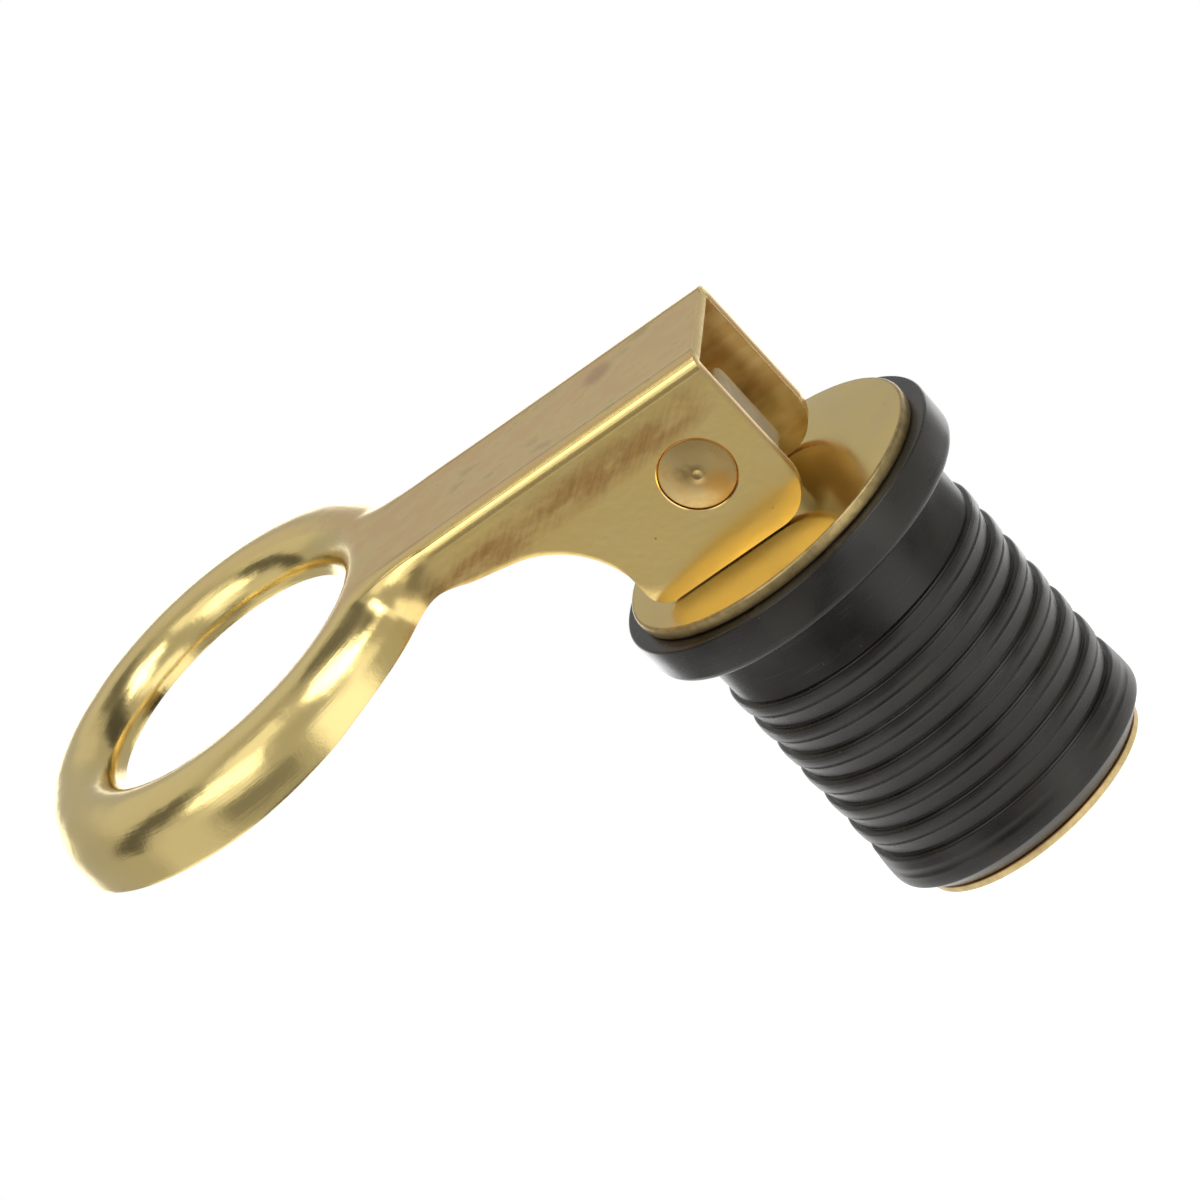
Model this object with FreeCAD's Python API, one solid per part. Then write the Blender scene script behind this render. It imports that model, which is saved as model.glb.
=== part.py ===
import FreeCAD, Part
import os

os.makedirs("parts", exist_ok=True)

V = FreeCAD.Vector
UP = V(0, 0, 1)
ACROSS = V(0, 1, 0)

# Origin: plug axis at the flange's underside, which seats on the hull fitting. +Z up, handle towards -X. mm.
drain_bore = 25.4
running_gap = 0.08

# rubber stopper
neck_gap = 0.45
rib_gap = 0.22
flange_r = 15.3
flange_h = 3.8
plug_depth = 28.25
first_rib_depth = 5.3
rib_count = 7
lip_land = 3.15

# washers and stem
top_r = 14.0
top_t = 1.2
bottom_r = 10.83
bottom_t = 0.75
stem_r = 3.0
eye_half_x = 3.95
eye_half_y = 2.5
eye_above_pin = 3.3
nut_across_flats = 9.5
nut_h = 2.3

# cam lever: distances from the pin's centre
pin_x = -0.15
pin_above_disc = 7.9
rivet_r = 2.38
rivet_head_r = 3.19
rivet_proud = 0.05
sheet = 1.1
lever_width = 12.9
cam_end = 6.2
cam_drop = 7.35
cam_corner = 5.2
web_rise = 8.45
web_bend = 1.3

# finger ring
ring_reach = 44.05
ring_crest_r = 15.46
ring_shoulder = 3.6
ring_shoulder_drop = 2.53
ring_h = 5.5
ring_flare = 0.76
ring_hole_r = 12.4
lip_t = 0.6
lip_drop = 3.65

# derived
neck_r = drain_bore / 2 - neck_gap
rib_r = drain_bore / 2 - rib_gap
groove_r = neck_r - 0.15
disc_z = flange_h + top_t
pin_z = disc_z + pin_above_disc
web_z = pin_z + web_rise
rib_pitch = (plug_depth - first_rib_depth - lip_land - 1.92) / (rib_count - 1)
bore_r = stem_r + running_gap
ring_x = pin_x - ring_reach


def face_of(points):
    return Part.Face(Part.makePolygon(points + [points[0]]))


def face_of_edges(edges):
    return Part.Face(Part.Wire(edges))


def line(a, b):
    return Part.LineSegment(a, b).toShape()


def arc(a, b, c):
    return Part.Arc(a, b, c).toShape()


def turned(edges, x=0.0):
    profile = face_of_edges(edges)
    return profile.revolve(V(x, 0, 0), UP, 360)


def rz(r, z, x=0.0):
    return V(x + r, 0, z)


# Edges through a closed list of points; a pair is an arc's middle and end.
def path_edges(points):
    edges = []
    here = points[0]
    step = 1
    while step < len(points):
        item = points[step]
        if isinstance(item, tuple):
            edges.append(arc(here, item[0], item[1]))
            here = item[1]
        else:
            edges.append(line(here, item))
            here = item
        step += 1
    if here.distanceToPoint(points[0]) > 1e-7:
        edges.append(line(here, points[0]))
    return edges


def one_solid(shape):
    shape = shape.removeSplitter()
    solids = shape.Solids
    assert len(solids) == 1, len(solids)
    return solids[0]


def make_rubber_stopper():
    flange_side = flange_r - 0.12
    corner = 0.8
    points = [rz(bore_r, flange_h), rz(flange_r - 0.25, flange_h)]
    points.append((rz(flange_r - 0.07, flange_h - 0.07), rz(flange_r, flange_h - 0.25)))
    points.append(rz(flange_side, corner))
    points.append((rz(flange_side - 0.293 * corner, 0.293 * corner), rz(flange_side - corner, 0)))
    points.append(rz(neck_r, 0))
    points.append(rz(neck_r, -first_rib_depth))
    z = -first_rib_depth
    for rib in range(rib_count - 1):
        points.append(rz(rib_r - 0.08, z - 0.08))
        mid = rz(rib_r, z - 0.35 * rib_pitch)
        points.append((mid, rz(groove_r, z - rib_pitch)))
        z -= rib_pitch
    points.append(rz(rib_r - 0.04, z - 0.08))
    points.append((rz(rib_r + 0.02, z - 0.5 * lip_land), rz(rib_r - 0.1, z - lip_land)))
    points.append(rz(bottom_r + 0.1, -plug_depth + 0.1))
    points.append(rz(bottom_r - 0.05, -plug_depth))
    points.append(rz(bore_r, -plug_depth))
    return one_solid(turned(path_edges(points)))


def make_washer(outer_r, z_low, thickness, edge):
    body = Part.makeCylinder(outer_r, thickness, V(0, 0, z_low))
    rims = [e for e in body.Edges if isinstance(e.Curve, Part.Circle)]
    body = body.makeFillet(edge, rims)
    bore = Part.makeCylinder(bore_r, thickness + 2, V(0, 0, z_low - 1))
    return one_solid(body.cut(bore))


def make_stem():
    foot = -plug_depth - bottom_t - nut_h - 0.5
    top = pin_z + eye_above_pin
    eye_low = disc_z + 2.8
    shank = Part.makeCylinder(stem_r, eye_low + 0.4 - foot, V(0, 0, foot))
    tip = [e for e in shank.Edges if isinstance(e.Curve, Part.Circle) and abs(e.Curve.Center.z - foot) < 1e-6]
    shank = shank.makeChamfer(0.4, tip)
    block = Part.makeBox(2 * eye_half_x, 2 * eye_half_y, top - eye_low, V(-eye_half_x, -eye_half_y, eye_low))
    corners = []
    for edge in block.Edges:
        mid = edge.CenterOfMass
        if abs(abs(mid.x) - eye_half_x) < 1e-6 and abs(mid.y) < 1e-6:
            corners.append(edge)
    block = block.makeChamfer(0.8, corners)
    eye = Part.makeCylinder(rivet_r + running_gap, 4 * eye_half_y, V(pin_x, -2 * eye_half_y, pin_z), ACROSS)
    return one_solid(shank.fuse(block).cut(eye))


def make_lock_nut():
    low = -plug_depth - bottom_t - nut_h
    corner_r = nut_across_flats / 3 ** 0.5
    points = []
    for k in range(6):
        turn = FreeCAD.Rotation(UP, 60 * k)
        points.append(turn.multVec(V(corner_r, 0, 0)) + V(0, 0, low))
    hexagon = face_of(points).extrude(V(0, 0, nut_h))
    bevel = 0.5 * (corner_r - nut_across_flats / 2)
    flat_r = nut_across_flats / 2
    envelope = [rz(0, low), rz(flat_r, low), rz(corner_r + 0.02, low + bevel + 0.02)]
    envelope += [rz(corner_r + 0.02, low + nut_h), rz(0, low + nut_h)]
    hexagon = hexagon.common(turned(path_edges(envelope)))
    bore = Part.makeCylinder(stem_r + 0.02, nut_h + 2, V(0, 0, low - 1))
    return one_solid(hexagon.cut(bore))


def make_pivot_rivet():
    half = lever_width / 2
    head_depth = 0.5
    shank = Part.makeCylinder(rivet_r, 2 * (half - head_depth), V(pin_x, -half + head_depth, pin_z), ACROSS)
    head_t = head_depth + rivet_proud
    near = Part.makeCylinder(rivet_head_r, head_t, V(pin_x, -half - rivet_proud, pin_z), ACROSS)
    far = Part.makeCylinder(rivet_head_r, head_t, V(pin_x, half - head_depth, pin_z), ACROSS)
    return one_solid(shank.fuse([near, far]))


def ring_outer():
    crest_in = ring_crest_r - 0.2
    crest_out = ring_crest_r + 0.2
    wall_top_r = ring_crest_r + ring_shoulder
    wall_top_z = web_z - ring_shoulder_drop
    k = 0.7071
    mid_out = rz(crest_out + k * (wall_top_r - crest_out), wall_top_z + k * ring_shoulder_drop, ring_x)
    rim = rz(wall_top_r + ring_flare, web_z - ring_h, ring_x)
    wall_r = ring_crest_r - 1.9
    lip_z = web_z - lip_drop
    points = [rz(0, web_z - ring_h, ring_x), rim, rz(wall_top_r, wall_top_z, ring_x)]
    points.append((mid_out, rz(crest_out, web_z, ring_x)))
    points.append(rz(crest_in, web_z, ring_x))
    points.append((rz(ring_crest_r - 1.35, web_z - 0.32, ring_x), rz(wall_r, web_z - 1.25, ring_x)))
    points.append(rz(wall_r, lip_z + 0.5, ring_x))
    points.append((rz(wall_r - 0.15, lip_z + 0.15, ring_x), rz(wall_r - 0.5, lip_z, ring_x)))
    points.append(rz(0, lip_z, ring_x))
    return turned(path_edges(points), ring_x)


def ring_inner():
    wall_top_r = ring_crest_r + ring_shoulder - sheet
    wall_top_z = web_z - ring_shoulder_drop
    k = 0.7071
    crest_in = ring_crest_r - 0.1
    crest_out = ring_crest_r + 0.1
    top = web_z - sheet
    drop = top - wall_top_z
    mid_out = rz(crest_out + k * (wall_top_r - crest_out), wall_top_z + k * drop, ring_x)
    low = web_z - ring_h - 1
    wall_slope = ring_flare / (ring_h - ring_shoulder_drop)
    rim = rz(wall_top_r + wall_slope * (wall_top_z - low), low, ring_x)
    wall_r = ring_crest_r - 1.9 + 0.85
    lip_under = web_z - lip_drop - lip_t
    points = [rz(0, low, ring_x), rim, rz(wall_top_r, wall_top_z, ring_x)]
    points.append((mid_out, rz(crest_out, top, ring_x)))
    points.append(rz(crest_in, top, ring_x))
    points.append(rz(wall_r, top - 0.5, ring_x))
    points.append(rz(wall_r, lip_under + 0.5, ring_x))
    points.append((rz(wall_r - 0.15, lip_under + 0.15, ring_x), rz(wall_r - 0.5, lip_under, ring_x)))
    points.append(rz(0, lip_under, ring_x))
    return turned(path_edges(points), ring_x)


def channel(half_width, top_z, bend, end_x):
    low = pin_z - cam_drop - 1
    far_x = ring_x + ring_crest_r - 4
    body = Part.makeBox(end_x - far_x, 2 * half_width, top_z - low, V(far_x, -half_width, low))
    edges = []
    for edge in body.Edges:
        mid = edge.CenterOfMass
        if abs(abs(mid.y) - half_width) < 1e-6 and abs(mid.z - top_z) < 1e-6:
            edges.append(edge)
    body = body.makeFillet(bend, edges)
    crest = Part.makeCylinder(ring_crest_r, top_z - low + 4, V(ring_x, 0, low - 2))
    return body.cut(crest)


# Side view of the ears and the channel's lower edge, as a plate across the lever.
def side_profile():
    end = pin_x + cam_end
    low = pin_z - cam_drop
    foot_back = pin_x - 8.25
    heel = 1.8
    k = 0.2929
    waist_x = pin_x - 16.35
    waist_z = web_z - 5.8
    neck_x = pin_x - 23.55
    neck_z = web_z - 4.4
    rim_z = web_z - ring_h
    points = [V(end, 0, web_z + 2), V(end, 0, low + cam_corner)]
    points.append((V(end - k * cam_corner, 0, low + k * cam_corner), V(end - cam_corner, 0, low)))
    points.append(V(foot_back, 0, low))
    points.append((V(foot_back - 0.7071 * heel, 0, low + k * heel), V(foot_back - heel, 0, low + heel)))
    points.append(V(foot_back - heel - 0.2, 0, low + 3.45))
    points.append((V(pin_x - 12.25, 0, web_z - 8.55), V(waist_x, 0, waist_z)))
    points.append(V(neck_x, 0, neck_z))
    points.append(V(neck_x - 1.7, 0, neck_z - 0.2))
    points.append(V(neck_x - 4.6, 0, rim_z))
    points.append(V(ring_x - 30, 0, rim_z))
    points.append(V(ring_x - 30, 0, web_z + 2))
    plate = face_of_edges(path_edges(points))
    plate.translate(V(0, -30, 0))
    return plate.extrude(V(0, 60, 0))


def make_lever():
    half = lever_width / 2
    end = pin_x + cam_end
    outer = ring_outer().fuse(channel(half, web_z, web_bend, end))
    outer = outer.removeSplitter()
    inner = ring_inner().fuse(channel(half - sheet, web_z - sheet, web_bend - sheet + 0.1, end + 2))
    body = outer.cut(inner)
    body = body.common(side_profile())
    hole = Part.makeCylinder(ring_hole_r, 2 * ring_h, V(ring_x, 0, web_z - 1.5 * ring_h))
    pin_hole = Part.makeCylinder(rivet_r + 0.02, lever_width + 2, V(pin_x, -half - 1, pin_z), ACROSS)
    cuts = [hole, pin_hole]
    for start in (-half - 1, half - 0.5):
        cuts.append(Part.makeCylinder(rivet_head_r + 0.02, 1.5, V(pin_x, start, pin_z), ACROSS))
    return one_solid(body.cut(cuts))


shapes = {
    "rubber_stopper": make_rubber_stopper(),
    "top_washer": make_washer(top_r, flange_h, top_t, 0.3),
    "bottom_washer": make_washer(bottom_r, -plug_depth - bottom_t, bottom_t, 0.2),
    "stem": make_stem(),
    "lock_nut": make_lock_nut(),
    "lever": make_lever(),
    "pivot_rivet": make_pivot_rivet(),
}

for name, shape in shapes.items():
    shape.exportStep("parts/" + name + ".step")
    box = shape.BoundBox
    print(name, round(shape.Volume, 1), shape.isValid(), [round(v, 2) for v in (box.XMin, box.XMax, box.YMin, box.YMax, box.ZMin, box.ZMax)])
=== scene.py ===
import math
from functools import partial

import bmesh
import bpy
from mathutils import Matrix, Vector


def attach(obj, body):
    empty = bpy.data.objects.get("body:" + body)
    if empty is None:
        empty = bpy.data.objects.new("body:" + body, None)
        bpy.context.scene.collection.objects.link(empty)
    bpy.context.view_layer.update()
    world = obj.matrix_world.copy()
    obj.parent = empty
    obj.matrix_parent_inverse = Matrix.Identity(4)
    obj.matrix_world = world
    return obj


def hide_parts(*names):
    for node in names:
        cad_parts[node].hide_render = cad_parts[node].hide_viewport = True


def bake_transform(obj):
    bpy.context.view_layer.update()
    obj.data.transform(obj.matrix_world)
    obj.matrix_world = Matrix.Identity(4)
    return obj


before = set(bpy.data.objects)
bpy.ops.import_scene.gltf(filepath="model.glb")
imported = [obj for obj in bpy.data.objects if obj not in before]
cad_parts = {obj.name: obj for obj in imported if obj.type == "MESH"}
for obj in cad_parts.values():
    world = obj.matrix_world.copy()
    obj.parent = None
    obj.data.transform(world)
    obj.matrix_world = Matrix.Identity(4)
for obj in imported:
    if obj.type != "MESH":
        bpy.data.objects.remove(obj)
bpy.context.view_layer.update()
mm = 0.001
print("frame loaded")


# a colour as written on screen, turned to Blender's linear values
def linear(hexText):
    parts = []
    for i in (1, 3, 5):
        c = int(hexText[i:i + 2], 16) / 255
        parts.append(c / 12.92 if c <= 0.04045 else ((c + 0.055) / 1.055) ** 2.4)
    return (*parts, 1.0)


# settings that many nodes share
product = {"operation": "MULTIPLY"}
scaledSum = {"operation": "MULTIPLY_ADD"}
eased = {"interpolation_type": "SMOOTHSTEP"}


# adds a node with its settings, sets or links its inputs, and hands back the output asked for
def addNode(tree, kind, inputs, give=0, **settings):
    node = tree.nodes.new("ShaderNode" + kind)
    for key, value in settings.items():
        setattr(node, key, value)
    for key, value in inputs.items():
        if isinstance(value, bpy.types.NodeSocket):
            tree.links.new(value, node.inputs[key])
        else:
            node.inputs[key].default_value = value
    return node.outputs[give] if node.outputs else node


# empties the node tree of a material or a world, and hands back addNode for that tree
def openTree(owner):
    owner.use_nodes = True
    owner.node_tree.nodes.clear()
    return partial(addNode, owner.node_tree)


# an object of one vertex, selected in edit mode
def startPiece(name):
    bpy.ops.object.select_all(action="DESELECT")
    bpy.ops.mesh.primitive_plane_add(size=mm)
    piece = bpy.context.object
    piece.name = name
    bpy.ops.object.mode_set(mode="EDIT")
    bpy.ops.mesh.select_mode(type="VERT")
    bpy.ops.mesh.select_all(action="SELECT")
    bpy.ops.mesh.merge(type="CENTER")
    return piece


# extrudes the one selected vertex along points given in mm, and selects the path
def drawPath(points):
    here = Vector((0, 0, 0))
    for i, point in enumerate(points):
        there = Vector(point) * mm
        if i == 0:
            bpy.ops.transform.translate(value=there)
        else:
            bpy.ops.mesh.extrude_region_move(TRANSFORM_OT_translate={"value": there - here})
        here = there
    bpy.ops.mesh.select_all(action="SELECT")


# corners are (across, up, radius); each is rounded by an arc
def roundedPath(corners, closed=True, steps=6):
    points = []
    count = len(corners)
    for i, (x, z, radius) in enumerate(corners):
        here = Vector((x, z))
        if radius <= 0 or (not closed and i in (0, count - 1)):
            points.append((x, z))
            continue
        back = (Vector(corners[i - 1][:2]) - here).normalized()
        ahead = (Vector(corners[(i + 1) % count][:2]) - here).normalized()
        half = back.angle(ahead) / 2
        middle = here + (back + ahead).normalized() * (radius / math.sin(half))
        start = here + back * (radius / math.tan(half)) - middle
        end = here + ahead * (radius / math.tan(half)) - middle
        turn = start.angle_signed(end)
        for k in range(steps + 1):
            c, s = math.cos(-turn * k / steps), math.sin(-turn * k / steps)
            points.append(tuple(middle + Vector((start.x * c - start.y * s, start.x * s + start.y * c))))
    return points


# turns what is selected about an axis through a point given in mm
def spinRound(steps, turn=2 * math.pi, center=(0, 0, 0), axis=(0, 0, 1)):
    bpy.ops.mesh.spin(steps=steps, angle=turn, center=Vector(center) * mm, axis=axis)


def closeMesh(gap=0.002):
    bpy.ops.mesh.select_all(action="SELECT")
    bpy.ops.mesh.remove_doubles(threshold=gap * mm)
    bpy.ops.mesh.delete_loose()
    bpy.ops.mesh.select_all(action="SELECT")
    bpy.ops.mesh.normals_make_consistent(inside=False)
    bpy.ops.object.mode_set(mode="OBJECT")


def pickOnly(piece):
    bpy.ops.object.select_all(action="DESELECT")
    piece.select_set(True)
    bpy.context.view_layer.objects.active = piece


def shadeRound(piece, degrees=35):
    pickOnly(piece)
    bpy.ops.object.shade_smooth_by_angle(angle=math.radians(degrees))


def applyModifier(piece, kind, **settings):
    pickOnly(piece)
    modifier = piece.modifiers.new(kind.lower(), kind)
    for key, value in settings.items():
        setattr(modifier, key, value)
    bpy.ops.object.modifier_apply(modifier=modifier.name)


def softenEdges(piece, width, segments, degrees):
    applyModifier(piece, "BEVEL", width=width * mm, segments=segments, limit_method="ANGLE",
                  angle_limit=math.radians(degrees))


# joins, subtracts or intersects a tool piece, which is used up
def combine(piece, tool, operation="DIFFERENCE"):
    applyModifier(piece, "BOOLEAN", operation=operation, object=tool, solver="EXACT")
    bpy.data.objects.remove(tool, do_unlink=True)


# turns a path of (radius, height) about an axis along Z or Y
def turnPath(name, flat, steps, axis="Z", center=(0, 0, 0)):
    piece = startPiece(name)
    cx, cy, cz = center
    if axis == "Z":
        drawPath([(cx + r, cy, cz + h) for r, h in flat])
        direction = (0, 0, 1)
    else:
        drawPath([(cx + r, cy + h, cz) for r, h in flat])
        direction = (0, 1, 0)
    spinRound(steps, center=center, axis=direction)
    closeMesh()
    return piece


# corners are (radius, height, rounding), and the last joins the first
def turnedPiece(name, corners, steps, axis="Z", center=(0, 0, 0)):
    flat = roundedPath(corners)
    return turnPath(name, flat + flat[:1], steps, axis, center)


def dress(piece, material):
    piece.data.materials.clear()
    piece.data.materials.append(material)


def finishPiece(piece, body, slotName, *nodes, material):
    dress(piece, material)
    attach(piece, body)
    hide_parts(*nodes)


# rubber stopper, turned; it stretches between the top washer and the foot

# ribShape is fall below the rib's top and share of its height: a step out under the groove, a fine mould
# line, a swell, and a fall to the next groove past a second line
rubber = {"bore": 3.1, "flange": 15.3, "flangeTop": 3.8, "flangeTaper": 0.14, "flangeEdge": 0.22,
          "flangeFoot": 0.75, "neck": 12.2, "neckFillet": 0.5, "groove": 12.06, "crest": 12.5,
          "firstRib": -5.3, "ribPitch": 2.98, "ribs": 6, "lip": 12.6, "lipStart": 0.4, "lipSteps": 10,
          "lipInset": 0.02, "lipSwell": 0.62, "lipLine": 0.5, "lipEnd": -26.25, "lipFall": 0.35,
          "lipTaper": 0.06, "lipEdge": 0.3, "lipRows": 7, "foot": 10.85, "footRise": 0.08, "footEdge": 0.12,
          "bottom": -28.25,
          "ribShape": [(0, 0), (0.04, 0.06), (0.09, 0.72), (0.16, 0.9), (0.25, 0.94), (0.3, 0.8),
                       (0.36, 0.95), (0.6, 1), (0.9, 0.98), (1.2, 0.9), (1.4, 0.8), (1.44, 0.84), (1.5, 0.83),
                       (1.55, 0.68), (1.8, 0.52), (2.1, 0.33), (2.4, 0.17), (2.7, 0.06), (2.9, 0.01)]}


def makeRubber():
    d = rubber
    flat = [(d["bore"], d["flangeTop"])]
    flat += roundedPath([(d["bore"], d["flangeTop"], 0), (d["flange"], d["flangeTop"], d["flangeEdge"]),
                         (d["flange"] - d["flangeTaper"], 0.0, d["flangeFoot"]),
                         (d["neck"], 0.0, d["neckFillet"]), (d["neck"], d["firstRib"], 0)],
                        closed=False, steps=8)[1:-1]
    z = d["firstRib"]
    rise = d["crest"] - d["groove"]
    for _ in range(d["ribs"]):
        flat += [(d["groove"] + rise * share, z - fall) for fall, share in d["ribShape"]]
        z -= d["ribPitch"]
    flat += [(d["groove"] + rise * share, z - fall) for fall, share in d["ribShape"][:d["lipRows"]]]
    lipTop = z - d["lipStart"]
    lipRise = d["lip"] - d["crest"] + 2 * d["lipInset"]
    for k in range(1, d["lipSteps"] + 1):
        t = k / d["lipSteps"]
        swell = math.sin(math.pi * t * d["lipSwell"]) - (d["lipLine"] if k == d["lipSteps"] // 2 else 0)
        flat.append((d["crest"] - d["lipInset"] + lipRise * swell, lipTop - t * (lipTop - d["lipEnd"])))
    flat += roundedPath([(d["lip"], d["lipEnd"], 0),
                         (d["lip"] - d["lipTaper"], d["lipEnd"] - d["lipFall"], d["lipEdge"]),
                         (d["foot"], d["bottom"] + d["footRise"], d["footEdge"]),
                         (d["bore"], d["bottom"], 0)], closed=False, steps=5)[1:]
    piece = turnPath("rubberStopper", flat + flat[:1], 192)
    shadeRound(piece, 40)
    return piece


# washers, turned from brass plate

washers = {"bore": 3.1, "boreLowEdge": 0.1, "boreHighEdge": 0.12,
           "top": {"radius": 14.0, "low": 3.8, "high": 5.0, "edge": 0.28},
           "bottom": {"radius": 10.83, "low": -29.0, "high": -28.25, "edge": 0.16}}


def makeWasher(name, size):
    d = washers
    radius, low, high, edge = size.values()
    piece = turnedPiece(name, [(d["bore"], low, d["boreLowEdge"]), (radius, low, edge), (radius, high, edge),
                               (d["bore"], high, d["boreHighEdge"])], 224)
    shadeRound(piece, 40)
    return piece


# stem: a flat eye on a round shank

stem = {"radius": 3.0, "foot": -31.8, "footEdge": 0.45, "eyeLow": 7.8, "lap": 0.5, "top": 16.2, "halfX": 3.95,
        "halfY": 2.5, "chamfer": 0.8, "edge": 0.14, "eyeGap": 0.06, "eyeReach": 4}


def makeStem():
    d = stem
    shankTop = d["eyeLow"] + d["lap"]
    piece = turnedPiece("eyeStem", [(0, d["foot"], 0), (d["radius"], d["foot"], d["footEdge"]),
                                    (d["radius"], shankTop, 0), (0, shankTop, 0)], 96)
    bpy.ops.object.select_all(action="DESELECT")
    height = d["top"] - d["eyeLow"]
    bpy.ops.mesh.primitive_cube_add(size=1, location=(0, 0, (d["eyeLow"] + height / 2) * mm),
                                    scale=(2 * d["halfX"] * mm, 2 * d["halfY"] * mm, height * mm))
    block = bpy.context.object
    bpy.ops.object.transform_apply(location=True, rotation=True, scale=True)
    bpy.ops.object.mode_set(mode="EDIT")
    mesh = bmesh.from_edit_mesh(block.data)
    for edge in mesh.edges:
        middle = (edge.verts[0].co + edge.verts[1].co) / 2
        edge.select = abs(abs(middle.x) - d["halfX"] * mm) < 1e-6 and abs(middle.y) < 1e-6
    bmesh.update_edit_mesh(block.data)
    bpy.ops.mesh.select_mode(type="EDGE")
    bpy.ops.mesh.bevel(offset=d["chamfer"] * mm, segments=4, profile=0.5)
    bpy.ops.mesh.select_mode(type="VERT")
    bpy.ops.object.mode_set(mode="OBJECT")
    softenEdges(block, d["edge"], 3, 50)
    hole = rivet["shank"] + d["eyeGap"]
    reach = d["eyeReach"]
    bolt = [(0, -reach, 0), (hole, -reach, 0), (hole, reach, 0), (0, reach, 0)]
    combine(block, turnedPiece("eyeCutter", bolt, 64, "Y", (rivet["x"], 0, rivet["z"])))
    combine(piece, block, "UNION")
    shadeRound(piece, 35)
    return piece


# lock nut under the bottom washer

nut = {"flats": 9.5, "height": 2.3, "top": -29.0, "bore": 3.03, "flare": 1.3, "flareTop": 0.3,
       "cornerCut": 0.42, "edge": 0.08}


def makeNut():
    d = nut
    corner = d["flats"] / math.sqrt(3)
    bpy.ops.object.select_all(action="DESELECT")
    bpy.ops.mesh.primitive_cylinder_add(vertices=6, radius=corner * mm, depth=d["height"] * mm,
                                        location=(0, 0, (d["top"] - d["height"] / 2) * mm),
                                        rotation=(0, 0, math.radians(30)))
    piece = bpy.context.object
    piece.name = "lockNut"
    bpy.ops.object.transform_apply(location=True, rotation=True, scale=True)
    low, high = d["top"] - d["height"], d["top"] + 1
    wide, under = corner + 0.1, low - 0.001
    envelope = [(0, under, 0), (d["flats"] / 2, under, 0), (wide, low + d["cornerCut"], 0), (wide, high, 0),
                (0, high, 0)]
    combine(piece, turnedPiece("nutEnvelope", envelope, 96), "INTERSECT")
    bore = [(0, low - 1, 0), (d["bore"] + d["flare"], low - 1, 0), (d["bore"], low + d["flareTop"], 0),
            (d["bore"], high, 0), (0, high, 0)]
    combine(piece, turnedPiece("nutBore", bore, 96))
    softenEdges(piece, d["edge"], 2, 28)
    shadeRound(piece, 30)
    return piece


# pivot rivet, its heads set in the ears and very slightly domed, with the header's ring mark in the middle

# dome is radius and fall below the face
rivet = {"x": -0.15, "z": 12.9, "shank": 2.38, "head": 3.19, "face": 6.5, "headDepth": 0.5,
         "dome": [(0.0, 0.045), (0.28, 0.045), (0.36, 0.01), (0.48, 0.01), (0.58, 0.032), (1.0, 0.034),
                  (1.5, 0.052), (2.0, 0.082), (2.4, 0.115), (2.8, 0.155), (3.0, 0.178), (3.1, 0.19),
                  (3.16, 0.21), (3.19, 0.25)]}


def makeRivet():
    d = rivet
    seat = d["face"] - d["headDepth"]
    dish = [(r, d["face"] - fall) for r, fall in d["dome"]] + [(d["head"], seat), (d["shank"], seat)]
    flat = dish + [(r, -h) for r, h in reversed(dish)]
    piece = turnPath("pivotRivet", flat, 128, "Y", (d["x"], 0, d["z"]))
    shadeRound(piece, 35)
    return piece


# lever: one pressed sheet, drawn as its outer skin and then given its thickness

# sizes of the ring's arch from its hole over the crest to the rim, the join to the arm, the channel and the
# ears; even and thin hold where something starts and over what length it grows
lever = {"ringX": -44.2, "top": 21.35, "crest": 15.46, "outAcross": 4.31, "outDown": 4.5, "outTurn": 84,
         "rimRadius": 19.8, "rim": 15.57, "inAcross": 3.15, "inDown": 3.2, "inTurn": 84, "holeRadius": 12.3,
         "holeDrop": 3.5, "tipDrop": 0.25, "joinRise": 0.91, "joinRiseTurn": 70, "joinHump": 0.37,
         "joinHumpEnd": 0.62, "joinDip": 0.25, "planFillet": 4.5, "halfWidth": 6.45, "bend": 1.35,
         "sheet": 1.1, "foldRise": 0.03, "foldWide": 0.24, "webSink": 0.02, "edge": 0.13,
         "evenFrom": (-34, 3), "evenTo": (-20.5, -4), "evenOut": (15.5, 1.5), "thinShare": 0.75,
         "thinOut": (12.4, 0.9), "roll": 0.0182, "rollFrom": -12, "rollTo": -32, "droop": 0.42,
         "droopFrom": -29, "droopRun": 35, "ringSteps": 156, "joinSteps": 24, "armSteps": 26,
         "bendSteps": 14, "wallSteps": 8, "armStart": -21.5, "edgeHigh": 16.6,
         "cutOut": [(-16.9, 15.62), (-13.6, 14.98), (-10.95, 12.3), (-10.3, 8.9)],
         "cutOutEnd": (-10.3, 8.1), "heel": 1.8, "footBack": -8.5, "footLow": 5.12, "corner": 3.7,
         "end": 6.05, "bendStops": [-16.9, -10.8, -10.4, -10.0, -8.0, 0.3], "seatGap": 0.06, "holeGap": 0.02,
         "seatDepth": 6.0, "seatEdge": (0.09, 6.37, 6.46), "seatReach": 6.9}


def bezier(a, b, c, e, t):
    return a * (1 - t) ** 3 + b * (3 * t * (1 - t) ** 2) + c * (3 * t * t * (1 - t)) + e * t ** 3


def smooth(t):
    t = max(0.0, min(1.0, t))
    return t * t * (3 - 2 * t)


# the wall leaves the bend along its slope and eases down to the foot
def wallRows(start, slope, foot):
    middle = start + slope.normalized() * (foot - start).length * 0.5
    rows = []
    for k in range(1, lever["wallSteps"] + 1):
        t = k / lever["wallSteps"]
        rows.append(start * (1 - t) ** 2 + middle * (2 * t * (1 - t)) + foot * t ** 2)
    return rows


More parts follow.
